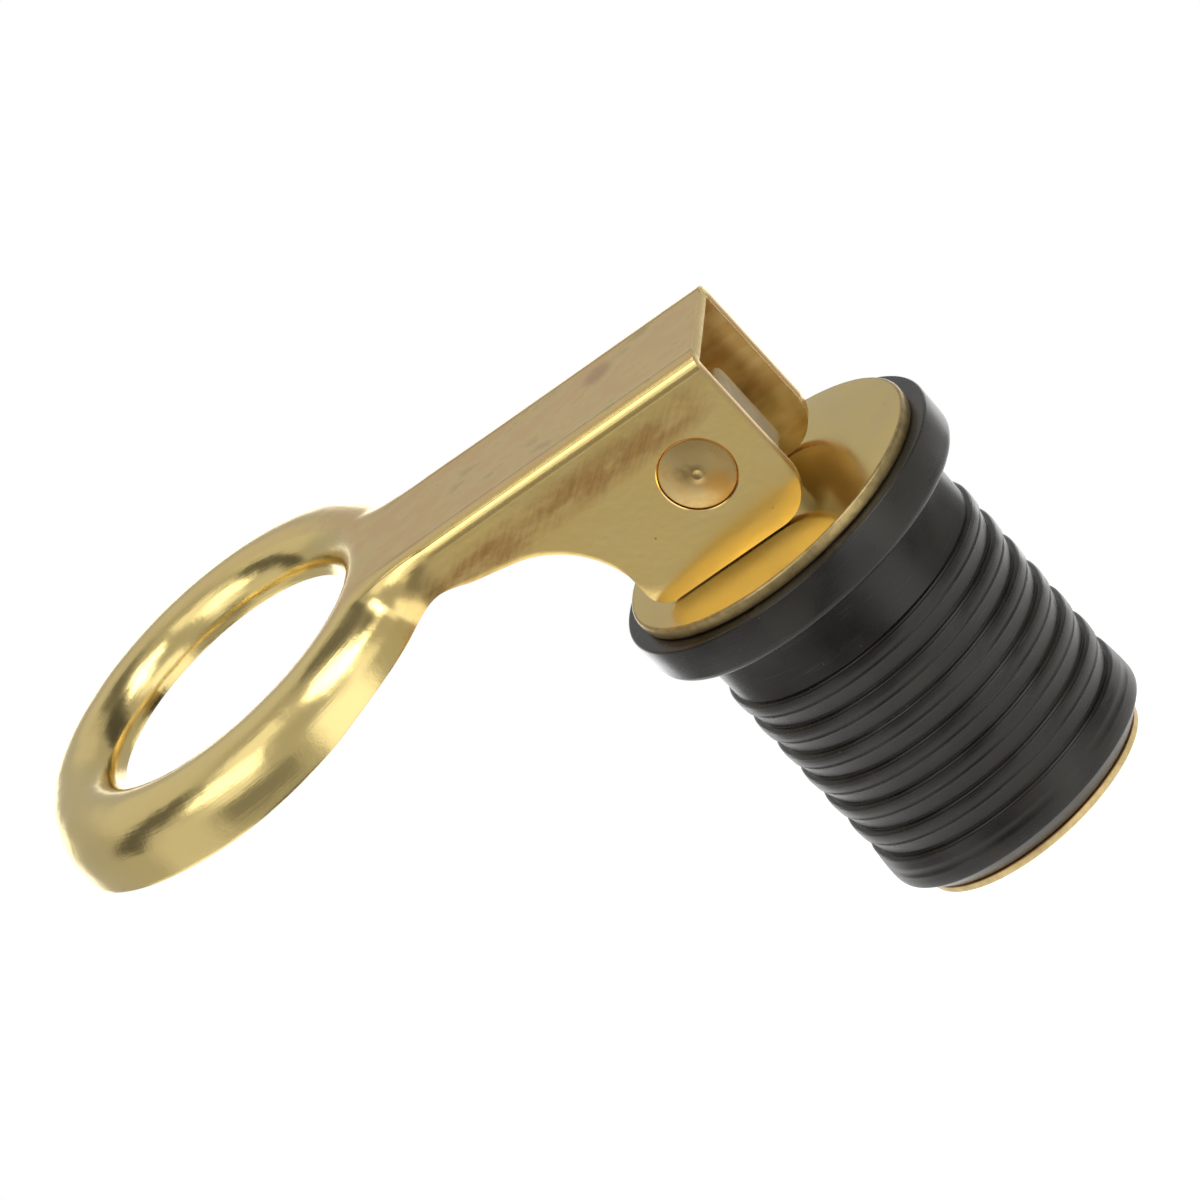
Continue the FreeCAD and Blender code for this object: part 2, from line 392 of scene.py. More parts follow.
# radius and height of the ring's skin
def ringRows():
    d = lever
    inner = [(d["holeRadius"], d["top"] - d["holeDrop"])]
    innerSteps = d["bendSteps"] + 4
    for k in range(innerSteps, -1, -1):
        a = math.radians(d["inTurn"] * k / innerSteps)
        inner.append((d["crest"] - d["inAcross"] * math.sin(a), d["top"] - d["inDown"] * (1 - math.cos(a))))
    outer = []
    for k in range(1, d["bendSteps"] + 1):
        a = math.radians(d["outTurn"] * k / d["bendSteps"])
        outer.append((d["crest"] + d["outAcross"] * math.sin(a), d["top"] - d["outDown"] * (1 - math.cos(a))))
    a = math.radians(d["outTurn"])
    slope = Vector((d["outAcross"] * math.cos(a), -d["outDown"] * math.sin(a)))
    outer += [tuple(p) for p in wallRows(Vector(outer[-1]), slope, Vector((d["rimRadius"], d["rim"])))]
    return inner, outer


# how far the rim stands above its usual height: lower at the tip, higher towards the arm
def rimLift(angle, join):
    d = lever
    away = smooth((abs(angle) - join) / math.radians(d["joinRiseTurn"]))
    return d["joinRise"] * (1 - away) - d["tipDrop"] * smooth((abs(angle) - math.pi / 2) / (math.pi / 2))


# lower edge of the side wall from the ring to the open end: (x on the bend, x, z)
def earOutline():
    d = lever
    cutStart, cutEnd, dropEnd, heelStart, footStart, cornerStart = d["bendStops"]
    cut = [Vector(p) for p in d["cutOut"]]
    edgeFall = d["cutOut"][0][1] - d["edgeHigh"]
    flatEnd = d["end"] - d["corner"]
    points = []
    for k in range(1, 9):
        x = d["armStart"] + (cutStart - d["armStart"]) * k / 8
        points.append((x, x, d["edgeHigh"] + edgeFall * k / 8))
    for k in range(1, 19):
        p = bezier(*cut, k / 18)
        points.append((cutStart + (cutEnd - cutStart) * k / 18, p.x, p.y))
    points.append((dropEnd, *d["cutOutEnd"]))
    for k in range(0, 9):
        a = math.radians(90 * k / 8)
        points.append((heelStart + (footStart - heelStart) * k / 8, d["footBack"] - d["heel"] * math.cos(a),
                       d["footLow"] + d["heel"] * (1 - math.sin(a))))
    for k in range(1, 9):
        points.append((footStart + (cornerStart - footStart) * k / 8,
                       d["footBack"] + (flatEnd - d["footBack"]) * k / 8, d["footLow"]))
    for k in range(1, 21):
        a = math.radians(90 * k / 20)
        points.append((cornerStart + (d["end"] - cornerStart) * k / 20, flatEnd + d["corner"] * math.sin(a),
                       d["footLow"] + d["corner"] * (1 - math.cos(a))))
    return points


# one cross-section of the skin: rows from the near lower edge over the web to the far lower edge
def section(crestPoint, outPoint, drop, foot, bulge, turn=90.0, fold=1.0):
    d = lever
    half = []
    for k in range(1, d["bendSteps"] + 1):
        a = math.radians(turn * k / d["bendSteps"])
        p = crestPoint.lerp(outPoint, math.sin(a))
        half.append(Vector((p.x, p.y, d["top"] - drop * (1 - math.cos(a)))))
    a = math.radians(turn)
    slope = (outPoint - crestPoint) * math.cos(a) - Vector((0, 0, drop * math.sin(a)))
    half += wallRows(half[-1], slope, foot)
    flip = Vector((1, -1, 1))
    rows = [p * flip for p in reversed(half)]
    for k in range(d["joinSteps"] + 1):
        even = -1 + 2 * k / d["joinSteps"]
        crowded = math.copysign(1 - (1 - abs(even)) ** 1.5, even)
        s = even + (crowded - even) * fold
        inset = crestPoint.y * (1 - abs(s))
        rise = d["foldRise"] * math.exp(-(inset / d["foldWide"]) ** 2) - d["webSink"]
        rows.append(Vector((crestPoint.x + bulge * (1 - s * s), crestPoint.y * s, d["top"] + rise * fold)))
    return rows + half


# where the ring hands over to the arm, as an angle at the ring's middle, and the sections from there to the
# open end
def channelSections():
    d = lever
    outR = d["crest"] + d["outAcross"]
    reach = outR + d["planFillet"]
    high = d["halfWidth"] + d["planFillet"]
    join = math.asin(high / reach)
    filletX = d["ringX"] + math.sqrt(reach * reach - high * high)
    filletLength = d["planFillet"] * (math.pi / 2 - join)
    total = filletLength + d["armStart"] - filletX
    crestStart = Vector((d["ringX"] + d["crest"] * math.cos(join), d["crest"] * math.sin(join)))
    crestEnd = Vector((d["armStart"], d["halfWidth"] - d["bend"]))
    crestLead = Vector((math.sin(join), -math.cos(join))) * total * d["crest"] / outR / 3
    sag = d["crest"] * (1 - math.cos(join))
    sections = []
    for k in range(1, d["armSteps"] + 1):
        u = k / d["armSteps"]
        run = total * u
        if run < filletLength:
            a = math.pi + join + run / d["planFillet"]
            out = Vector((filletX + d["planFillet"] * math.cos(a), high + d["planFillet"] * math.sin(a)))
        else:
            out = Vector((filletX + run - filletLength, d["halfWidth"]))
        crest = bezier(crestStart, crestStart + crestLead, crestEnd - Vector((total / 3, 0)), crestEnd, u)
        drop = d["outDown"] + (d["bend"] - d["outDown"]) * smooth(u)
        hump = d["joinHump"] * smooth(u / d["joinHumpEnd"])
        dip = d["joinDip"] * smooth((u - d["joinHumpEnd"]) / (1 - d["joinHumpEnd"]))
        foot = Vector((out.x, out.y, d["rim"] + d["joinRise"] + hump - dip))
        turn = d["outTurn"] + (90 - d["outTurn"]) * smooth(u)
        sections.append(section(Vector((crest.x, crest.y, 0)), Vector((out.x, out.y, 0)), drop, foot,
                                sag * (1 - smooth(u * 1.5)), turn, smooth(u)))
    for bendX, x, z in earOutline():
        crest = Vector((bendX, d["halfWidth"] - d["bend"], 0))
        out = Vector((bendX, d["halfWidth"], 0))
        sections.append(section(crest, out, d["bend"], Vector((x, d["halfWidth"], z)), 0.0))
    return join, sections


# a point of the arch where the ring hands over to the arm, on the far side or, with side -1, the near one
def handOver(join, r, z, side=1):
    direction = Vector((math.cos(join), math.sin(join)))
    return Vector((lever["ringX"] + r * direction.x, side * r * direction.y, z))


# spins the arch round the ring but for the join, and only its inner side across the join
def spinRing(inner, outer, join):
    d = lever
    piece = startPiece("pressedLever")
    drawPath([handOver(join, r, z) for r, z in inner + outer])
    spinRound(d["ringSteps"], turn=2 * (math.pi - join), center=(d["ringX"], 0, 0), axis=(0, 0, -1))
    mesh = bmesh.from_edit_mesh(piece.data)
    for vert in mesh.verts:
        x, y = vert.co.x / mm - d["ringX"], vert.co.y / mm
        vert.select = abs(math.atan2(y, x) - join) < 1e-4 and math.hypot(x, y) < d["crest"] + 0.001
    mesh.select_flush(True)
    for edge in mesh.edges:
        edge.select = edge.verts[0].select and edge.verts[1].select
    bmesh.update_edit_mesh(piece.data)
    spinRound(d["joinSteps"], turn=2 * join, center=(d["ringX"], 0, 0), axis=(0, 0, 1))
    bpy.ops.mesh.select_all(action="SELECT")
    bpy.ops.mesh.remove_doubles(threshold=0.002 * mm)
    return piece


# numbers the points that the arm starts from, in the order of a section's rows
def numberStart(piece, outer, join):
    d = lever
    start = [handOver(join, r, z, -1) for r, z in reversed(outer)]
    for k in range(d["joinSteps"] + 1):
        a = -join + 2 * join * k / d["joinSteps"]
        start.append(Vector((d["ringX"] + d["crest"] * math.cos(a), d["crest"] * math.sin(a), d["top"])))
    start += [handOver(join, r, z) for r, z in outer]
    mesh = bmesh.from_edit_mesh(piece.data)
    rowLayer = mesh.verts.layers.int.new("row")
    for vert in mesh.verts:
        for i, p in enumerate(start):
            if (vert.co / mm - p).length < 0.003:
                vert[rowLayer] = i + 1
    bmesh.update_edit_mesh(piece.data)


def liftRim(piece, shoulder, join):
    d = lever
    mesh = bmesh.from_edit_mesh(piece.data)
    for vert in mesh.verts:
        x, y, z = vert.co / mm
        if z < shoulder and math.hypot(x - d["ringX"], y) > d["crest"]:
            share = ((shoulder - z) / (shoulder - d["rim"])) ** 1.4
            vert.co.z += share * rimLift(math.atan2(y, x - d["ringX"]), join) * mm
    bmesh.update_edit_mesh(piece.data)


def extrudeArm(piece, sections):
    bpy.ops.mesh.select_all(action="DESELECT")
    bpy.ops.mesh.select_mode(type="EDGE")
    mesh = bmesh.from_edit_mesh(piece.data)
    rowLayer = mesh.verts.layers.int["row"]
    for edge in mesh.edges:
        a, b = edge.verts
        if a[rowLayer] and b[rowLayer] and abs(a[rowLayer] - b[rowLayer]) == 1:
            edge.select_set(True)
    bmesh.update_edit_mesh(piece.data)
    for rows in sections:
        bpy.ops.mesh.extrude_edges_move(TRANSFORM_OT_translate={"value": (0, 0, 0)})
        mesh = bmesh.from_edit_mesh(piece.data)
        rowLayer = mesh.verts.layers.int["row"]
        for vert in mesh.verts:
            if vert.select:
                vert.co = rows[vert[rowLayer] - 1] * mm
        bmesh.update_edit_mesh(piece.data)
    bpy.ops.mesh.select_mode(type="VERT")
    closeMesh(0.001)
    top = max(piece.data.polygons, key=lambda face: face.center.z)
    if top.normal.z < 0:
        bpy.ops.object.mode_set(mode="EDIT")
        bpy.ops.mesh.select_all(action="SELECT")
        bpy.ops.mesh.flip_normals()
        bpy.ops.object.mode_set(mode="OBJECT")


# rolls the ring and lets its tip droop, as the pressed part has it, and evens out the junction
def settleRing(piece):
    d = lever
    blend = piece.vertex_groups.new(name="junction")
    for vert in piece.data.vertices:
        x, y = vert.co.x / mm, vert.co.y / mm
        twist = d["roll"] * y * smooth((d["rollFrom"] - x) / (d["rollFrom"] - d["rollTo"]))
        vert.co.z += (twist - d["droop"] * max(0.0, (d["droopFrom"] - x) / d["droopRun"]) ** 2) * mm
        share, r = 1.0, math.hypot(x - d["ringX"], y)
        for value, (start, run) in ((x, d["evenFrom"]), (x, d["evenTo"]), (r, d["evenOut"])):
            share *= smooth((value - start) / run)
        blend.add([vert.index], share, "REPLACE")
    applyModifier(piece, "SMOOTH", factor=0.5, iterations=30, vertex_group="junction")


# the sheet is thinned where it was drawn in at the hole
def thickenSheet(piece):
    d = lever
    thin = piece.vertex_groups.new(name="thickness")
    for vert in piece.data.vertices:
        r = math.hypot(vert.co.x / mm - d["ringX"], vert.co.y / mm)
        share = d["thinShare"] + (1 - d["thinShare"]) * smooth((r - d["thinOut"][0]) / d["thinOut"][1])
        thin.add([vert.index], share, "REPLACE")
    applyModifier(piece, "SOLIDIFY", thickness=d["sheet"] * mm, offset=-1, use_even_offset=True,
                  use_quality_normals=True, vertex_group="thickness")
    softenEdges(piece, d["edge"], 3, 50)
    applyModifier(piece, "TRIANGULATE")


def makeLever():
    d = lever
    inner, outer = ringRows()
    join, sections = channelSections()
    piece = spinRing(inner, outer, join)
    numberStart(piece, outer, join)
    liftRim(piece, outer[d["bendSteps"] - 1][1], join)
    extrudeArm(piece, sections)
    settleRing(piece)
    thickenSheet(piece)
    hole, seat = rivet["shank"] + d["holeGap"], rivet["head"] + d["seatGap"]
    flare, low, high = d["seatEdge"]
    half = [(hole, d["seatDepth"], 0), (seat, d["seatDepth"], 0), (seat, low, 0), (seat + flare, high, 0),
            (seat + flare, d["seatReach"], 0), (0, d["seatReach"], 0)]
    whole = [(r, -y, soft) for r, y, soft in reversed(half)] + half
    combine(piece, turnedPiece("rivetSeats", whole, 96, "Y", (rivet["x"], 0, rivet["z"])))
    shadeRound(piece, 35)
    return piece


# finishes: every pattern is in Object coordinates, so sizes are in metres


# a material with its noises by name: size along X, Y and Z in mm, detail, roughness and, on some, a shift
def startMaterial(name, noises):
    material = bpy.data.materials.new(name)
    add = openTree(material)
    coords = add("TexCoord", {}, "Object")
    fields = {}
    for key, (size, detail, rough, *shift) in noises.items():
        scale = [1 / (s * mm) for s in size]
        place = add("Mapping", {"Vector": coords, "Location": shift or (0, 0, 0), "Scale": scale})
        fields[key] = add("TexNoise", {"Vector": place, "Scale": 1.0, "Detail": detail, "Roughness": rough})
    return material, add, coords, fields


# where a Map Range node starts and ends, given in mm
def span(low, high):
    return {1: low * mm, 2: high * mm}


# share that is 1 between low and high, in mm, with ends as soft as edge
def softBand(add, value, low, high, edge):
    up = add("MapRange", {0: value, **span(low - edge, low + edge)}, **eased)
    down = add("MapRange", {0: value, **span(high - edge, high + edge), 3: 1, 4: 0}, **eased)
    return add("Math", {0: up, 1: down}, **product)


# share that falls from most at the near distance from a point to 0 at the far one, all in mm
def softSpot(add, coords, point, near, far, most):
    away = add("VectorMath", {0: coords, 1: [p * mm for p in point]}, "Value", operation="DISTANCE")
    return add("MapRange", {0: away, **span(near, far), 3: most, 4: 0}, **eased)


# sparse round spots on a grid, spacing and radius in mm; keep is the share of the grid that has one
def roundSpots(add, coords, spacing, radius, keep):
    cells = add("TexVoronoi", {"Vector": coords, "Scale": 1 / (spacing * mm)}, "Distance")
    near = add("MapRange", {0: cells, 1: radius / spacing * 0.6, 2: radius / spacing, 3: 1, 4: 0})
    lot = add("SeparateColor", {0: cells.node.outputs["Color"]})
    chosen = add("Math", {0: lot, 1: keep}, operation="LESS_THAN")
    return add("Math", {0: near, 1: chosen}, **product)


# lays tones over the first one, each by its share
def layTones(add, first, layers):
    colour = linear(first)
    for share, tone in layers:
        colour = add("Mix", {0: share, 6: colour, 7: linear(tone)}, 2, data_type="RGBA")
    return colour


# joins colour, roughness and relief in one metal or rubber shader; relief is in metres
def endMaterial(add, colour, rough, height, relief, **fixed):
    bump = add("Bump", {"Height": height, "Strength": 1.0, "Distance": relief}, "Normal")
    sockets = {"Base Color": colour, "Roughness": rough, "Normal": bump, **fixed}
    add("OutputMaterial", {"Surface": add("BsdfPrincipled", sockets)})


# inside is a painted-light tone, lighter than clean, for the inside of the ears
# line is a painted-shade tone for the two fine lines beside the bend
brassTone = {"clean": "#EACC81", "ring": "#E8D08B", "haze": "#DCC690", "web": "#DFC68A",
             "warmWeb": "#DDB983", "tarnish": "#C39C60", "streak": "#94693C", "stain": "#A98462",
             "line": "#7A6434", "speck": "#5E4A30", "cut": "#C79A58", "inside": "#FFE6AA",
             "dingy": "#D9A052", "seam": "#8A5228"}

stripNoise = {"cloud": ((5, 5, 5), 4, 0.6), "mottle": ((1.6, 1.6, 1.6), 4, 0.62),
              "slow": ((3.4, 3.4, 3.4), 1, 0.4), "patches": ((5.5, 4, 2), 3, 0.55, 3, 1, 2),
              "stain": ((4, 2.6, 3), 4, 0.65, 7, 4, 1), "peel": ((0.7, 0.7, 0.7), 2, 0.5),
              "grain": ((0.15, 0.15, 0.15), 2, 0.5), "drag": ((30, 0.1, 0.1), 2, 0.5)}

# where the looks change along, across and up the strip: from, to and, for bands, how soft, in mm
stripPlace = {"armStart": (-31, -23), "webStart": (-40, -28), "webTop": (21.05, 21.3), "ringEnd": (-32, -26),
              "waveEnd": (-37, -28), "grainEnd": (-32, -24), "wallAside": (6.2, 6.42),
              "wallAlong": (-25, 3.5, 3.0), "smearUp": (16.5, 19.3, 0.9), "foldUp": (20.86, 20.92, 0.03),
              "foldAside": (4.85, 5.2, 0.14), "sheetAside": (5.42, 6.33, 0.04), "sheetUp": (0, 20.1, 0.1),
              "withinAside": (-1, 5.38, 0.03), "withinUp": (0, 20.28, 0.03), "bendAside": (4.9, 7, 0.2),
              "bendUp": (20.0, 21.25, 0.1)}


# yellow brass strip, deep drawn and tumbled: bright with a soft orange peel on the ring and bends, matt and
# greyer on the flat top, brown handling tarnish below the bend, drag lines of the die along the bend, two
# fine lines of painted shade beside the bend, and painted light inside the ears: a lighter tone there, with
# darker blotches
def drawnBrass():
    material, add, coords, noise = startMaterial("drawnBrassStrip", stripNoise)
    tone, place = brassTone, stripPlace
    x, y, z = add("SeparateXYZ", {"Vector": coords}).node.outputs
    side = add("Math", {0: y}, operation="ABSOLUTE")
    onArm = add("MapRange", {0: x, **span(*place["armStart"])}, **eased)
    onTop = add("MapRange", {0: z, **span(*place["webTop"])}, **eased)
    webPart = add("MapRange", {0: x, **span(*place["webStart"]), 3: 0.3, 4: 1}, **eased)
    web = add("Math", {0: onTop, 1: webPart}, **product)

    haze = add("MapRange", {0: noise["cloud"], 1: 0.38, 2: 0.68, 3: 0, 4: 0.35})
    dull = add("MapRange", {0: noise["mottle"], 1: 0.3, 2: 0.62, 3: 0.62, 4: 1})
    dull = add("Math", {0: dull, 1: web}, **product)

    # brown smear on the side wall, drawn out along the arm and broken by upright streaks
    lean = add("VectorMath", {0: coords, 1: (0.81, 0, 0.585)}, "Value", operation="DOT_PRODUCT")
    across = add("VectorMath", {0: coords, 1: (-0.585, 0, 0.81)}, "Value", operation="DOT_PRODUCT")
    streakPlace = add("CombineXYZ", {"X": lean, "Y": across})
    streakScale = (1 / (2.6 * mm), 1 / (0.34 * mm), 1)
    streakPlace = add("Mapping", {"Vector": streakPlace, "Scale": streakScale})
    streaks = add("TexNoise", {"Vector": streakPlace, "Scale": 1.0, "Detail": 3.0, "Roughness": 0.6})
    climb = add("Math", {0: x, 1: -0.035, 2: z}, **scaledSum)
    wall = add("MapRange", {0: side, **span(*place["wallAside"])})
    wall = add("Math", {0: wall, 1: softBand(add, x, *place["wallAlong"])}, **product)
    smear = add("Math", {0: wall, 1: softBand(add, climb, *place["smearUp"])}, **product)
    body = add("MapRange", {0: noise["patches"], 1: 0.34, 2: 0.56, 3: 0.35, 4: 1}, **eased)
    smear = add("Math", {0: smear, 1: body}, **product)
    broken = add("MapRange", {0: streaks, 1: 0.42, 2: 0.66, 3: 0, 4: 0.42})
    broken = add("Math", {0: broken, 1: smear}, **product)

    warm = add("MapRange", {0: noise["stain"], 1: 0.62, 2: 0.4, 3: 0, 4: 0.8}, **eased)
    warm = add("Math", {0: warm, 1: web}, **product)
    stain = add("MapRange", {0: noise["stain"], 1: 0.54, 2: 0.72, 3: 0, 4: 0.4}, **eased)
    stain = add("Math", {0: stain, 1: add("Math", {0: web, 1: onArm}, **product)}, **product)
    smudgeAndPaintedShade = softSpot(add, coords, (-4.1, 2.4, 21.3), 0.6, 2.0, 0.55)

    # painted shade: two fine dark lines beside the bend, one down the bend and a softer one at the web's
    # edge, standing in for dark reflections there
    paintedFoldShade = softBand(add, z, *place["foldUp"])
    paintedWebEdgeShade = softBand(add, side, *place["foldAside"])
    outside = add("Math", {0: side, 1: 5.6 * mm}, operation="GREATER_THAN")
    above = add("Math", {0: z, 1: 21.0 * mm}, operation="GREATER_THAN")
    paintedFoldShade = add("Math", {0: paintedFoldShade, 1: outside}, **product)
    paintedWebEdgeShade = add("Math", {0: paintedWebEdgeShade, 1: above}, **product)
    paintedFoldShade = add("Math", {0: paintedWebEdgeShade, 1: 0.4, 2: paintedFoldShade}, **scaledSum)
    paintedFoldShade = add("Math", {0: paintedFoldShade, 1: add("Math", {0: onArm, 1: 0.85}, **product)}, **product)

    # the cut edge of the sheet, and the inside of the ears
    inSheet = softBand(add, side, *place["sheetAside"])
    inSheet = add("Math", {0: inSheet, 1: softBand(add, z, *place["sheetUp"])}, **product)
    cut = add("Math", {0: inSheet, 1: onArm}, **product)
    # painted light: the inside of the ears gets the lighter inside tone, standing in for light that reaches
    # in there
    within = softBand(add, side, *place["withinAside"])
    within = add("Math", {0: within, 1: softBand(add, z, *place["withinUp"])}, **product)
    within = add("Math", {0: within, 1: onArm}, **product)
    dingy = add("MapRange", {0: noise["patches"], 1: 0.44, 2: 0.6, 3: 0, 4: 0.4}, **eased)
    dingy = add("Math", {0: dingy, 1: within}, **product)
    ringShare = add("MapRange", {0: onArm, 3: 1.0, 4: 0})
    cutShare = add("Math", {0: cut, 1: 0.8}, **product)
    colour = layTones(add, tone["clean"], [
        (ringShare, tone["ring"]), (haze, tone["haze"]), (dull, tone["web"]), (warm, tone["warmWeb"]),
        (smear, tone["tarnish"]), (broken, tone["streak"]), (stain, tone["stain"]), (smudgeAndPaintedShade, tone["stain"]),
        (paintedFoldShade, tone["line"]), (within, tone["inside"]), (dingy, tone["dingy"]), (cutShare, tone["cut"]),
        (roundSpots(add, coords, 1.3, 0.08, 0.1), tone["speck"])])

    rough = add("MapRange", {0: noise["cloud"], 1: 0.3, 2: 0.7, 3: 0.14, 4: 0.2})
    for share, more in ((web, 0.16), (smear, 0.08), (within, 0.2), (cut, 0.1)):
        rough = add("Math", {0: share, 1: more, 2: rough}, **scaledSum)

    # lines of the drawing die round the ring, found from the ring's middle
    ringPlace = add("VectorMath", {0: coords, 1: (-lever["ringX"] * mm, 0, 0)}, operation="ADD")
    ringAlong, ringAside, _ = add("SeparateXYZ", {"Vector": ringPlace}).node.outputs
    around = add("Math", {0: ringAside, 1: ringAlong}, operation="ARCTAN2")
    flatRing = add("Mapping", {"Vector": ringPlace, "Scale": (1, 1, 0)})
    ringRadius = add("VectorMath", {0: flatRing}, "Value", operation="LENGTH")
    lineScale = 1 / (0.22 * mm)
    drawnPlace = add("CombineXYZ", {"X": add("Math", {0: around, 1: 4.0}, **product),
                                    "Y": add("Math", {0: ringRadius, 1: lineScale}, **product),
                                    "Z": add("Math", {0: z, 1: lineScale}, **product)})
    drawn = add("TexNoise", {"Vector": drawnPlace, "Scale": 1.0, "Detail": 3.0, "Roughness": 0.6})

    # orange peel everywhere, slow waves of the drawn metal on the ring, grain on the flat top, and lines
    # along the bend
    onRing = add("MapRange", {0: x, **span(*place["ringEnd"]), 3: 2.6, 4: 0})
    onBend = softBand(add, z, *place["bendUp"])
    onBend = add("Math", {0: onBend, 1: softBand(add, side, *place["bendAside"])}, **product)
    onBend = add("Math", {0: onBend, 1: onArm}, **product)
    waves = add("MapRange", {0: x, **span(*place["waveEnd"]), 3: 15, 4: 3})
    waves = add("Math", {0: within, 1: 25.0, 2: waves}, **scaledSum)
    shine = add("MapRange", {0: x, **span(*place["grainEnd"]), 3: 1.5, 4: 0.5})
    shine = add("Math", {0: onBend, 1: 1.6, 2: shine}, **scaledSum)
    shine = add("Math", {0: shine, 1: 0.6}, **product)
    height = add("Math", {0: noise["grain"], 1: shine}, **product)
    lines = add("Math", {0: noise["drag"], 1: onBend}, **product)
    for field, depth in ((noise["peel"], 2.0), (noise["slow"], waves), (lines, 1.5), (drawn, onRing)):
        height = add("Math", {0: field, 1: depth, 2: height}, **scaledSum)
    endMaterial(add, colour, rough, height, 0.000005, Metallic=1.0)
    return material


# rim is the radius where the punched edge starts, seam the height of the line where it meets the rubber
plates = {"top": {"rim": 13.75, "seam": 3.85, "tone": "#E3C878", "haze": "#D3BA80", "rimTone": "#A8946A",
                  "rimSpot": "#6E5C3E"},
          "foot": {"rim": 10.65, "seam": -28.3, "tone": "#E0C592", "haze": "#D8BE90", "rimTone": "#D2BC86",
                   "rimSpot": "#A08A5C"}}

plateNoise = {"cloud": ((3.5, 3.5, 3.5), 4, 0.6), "mottle": ((0.9, 0.9, 0.9), 4, 0.65),
              "grain": ((0.2, 0.2, 0.2), 3, 0.6)}


# brass plate, turned: fine rings round the stem, clouds of haze, a mottled, rougher rim left as it was
# punched, and a brown line where the rim meets the rubber
def turnedBrass(name, plate):
    material, add, coords, noise = startMaterial(name, plateNoise)
    rim, seam = plate["rim"], plate["seam"]
    z = add("SeparateXYZ", {"Vector": coords}, "Z")
    flatPlace = add("Mapping", {"Vector": coords, "Scale": (1, 1, 0)})
    radius = add("VectorMath", {0: flatPlace}, "Value", operation="LENGTH")
    ringPlace = add("CombineXYZ", {"X": radius, "Y": z})
    turnScale = 1 / (0.14 * mm)
    turning = add("TexNoise", {"Vector": ringPlace, "Scale": turnScale, "Detail": 2.0, "Roughness": 0.6})
    onRim = add("MapRange", {0: radius, **span(rim - 0.1, rim + 0.03)}, **eased)
    haze = add("MapRange", {0: noise["cloud"], 1: 0.36, 2: 0.68, 3: 0, 4: 0.6})
    seamShare = add("Math", {0: softBand(add, z, seam - 0.09, seam + 0.09, 0.04), 1: onRim}, **product)
    seamShare = add("Math", {0: seamShare, 1: 0.8}, **product)
    spotted = add("MapRange", {0: noise["mottle"], 1: 0.42, 2: 0.62, 3: 0, 4: 0.4})
    spotted = add("Math", {0: spotted, 1: onRim}, **product)
    rimShare = add("Math", {0: onRim, 1: 0.85}, **product)
    colour = layTones(add, plate["tone"], [
        (haze, plate["haze"]), (rimShare, plate["rimTone"]), (spotted, plate["rimSpot"]),
        (seamShare, brassTone["seam"]), (roundSpots(add, coords, 1.5, 0.09, 0.14), brassTone["speck"])])
    rough = add("MapRange", {0: noise["cloud"], 1: 0.3, 2: 0.7, 3: 0.17, 4: 0.24})
    rough = add("Math", {0: onRim, 1: 0.2, 2: rough}, **scaledSum)
    grainShare = add("MapRange", {0: onRim, 1: 0, 2: 1, 3: 0.6, 4: 3.5})
    height = add("Math", {0: noise["grain"], 1: grainShare, 2: turning}, **scaledSum)
    endMaterial(add, colour, rough, height, 0.0000012, Metallic=1.0)
    return material


barNoise = {"lines": ((0.12, 6, 0.5), 3, 0.6), "scratch": ((0.5, 0.22, 2.4), 3, 0.65),
            "cloud": ((2, 2, 2), 4, 0.6)}


# free-cutting brass bar, sawn and milled: greyer and duller than the strip, with cutter lines and scratches
def milledBrass():
    material, add, _, noise = startMaterial("milledBrassBar", barNoise)
    dull = add("MapRange", {0: noise["cloud"], 1: 0.35, 2: 0.7})
    marks = add("MapRange", {0: noise["scratch"], 1: 0.6, 2: 0.74, 3: 0, 4: 0.6})
    colour = layTones(add, "#D2CCB6", [(dull, "#C0B9A4"), (marks, "#75684F")])
    rough = add("MapRange", {0: noise["cloud"], 1: 0.3, 2: 0.7, 3: 0.42, 4: 0.52})
    height = add("Math", {0: noise["lines"], 1: noise["scratch"]}, operation="ADD")
    endMaterial(add, colour, rough, height, 0.000003, Metallic=1.0)
    return material


headNoise = {"cloud": ((1.5, 1.5, 1.5), 4, 0.6), "grain": ((0.3, 0.3, 0.3), 3, 0.6)}


